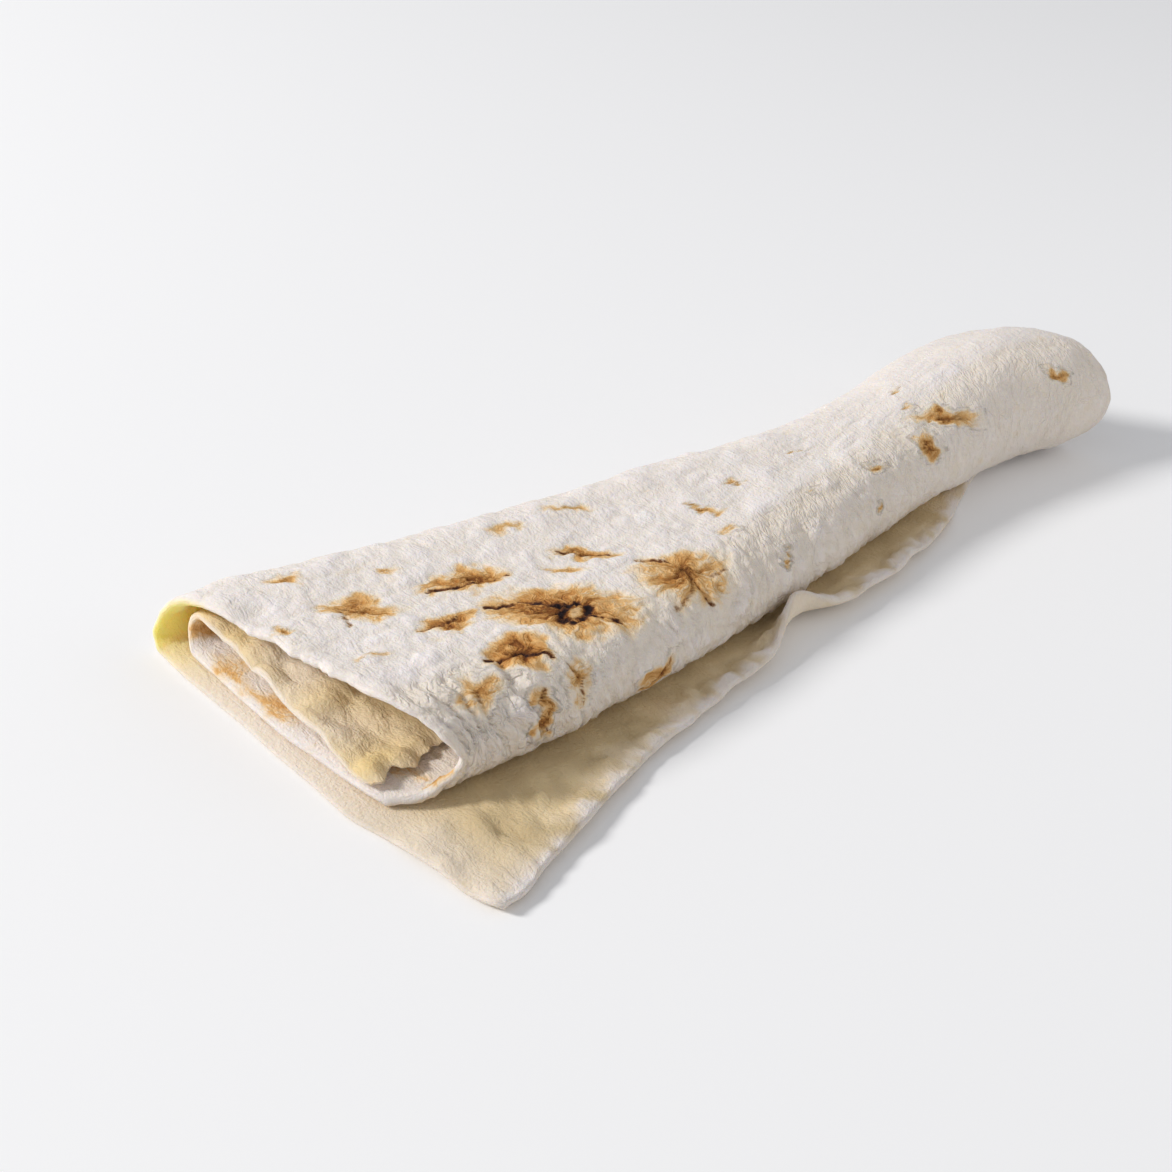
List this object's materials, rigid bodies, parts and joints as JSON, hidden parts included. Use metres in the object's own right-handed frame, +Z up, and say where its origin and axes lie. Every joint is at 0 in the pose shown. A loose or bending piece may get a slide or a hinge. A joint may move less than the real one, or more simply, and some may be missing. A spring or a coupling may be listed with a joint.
{
  "type": "folded lavash flatbread",
  "caption": "Thin soft flatbread folded into a loose flat roll, open at both ends, with one corner of the sheet left out as a flap; lies flat on its bottom layer.",
  "frame": {"origin": "middle of the bottom of the bounding box, on the table under the roll", "axes": "+X along the roll from its wide open end to its puffed end, +Y from the loose flap towards the big back fold, +Z up"},
  "size_m": [0.3964, 0.1726, 0.0514],
  "materials": {
    "bread": "matt, floury off-white with scorched spots"
  },
  "bodies": {
    "root": {"lavash": "bread"}
  },
  "joints": []
}
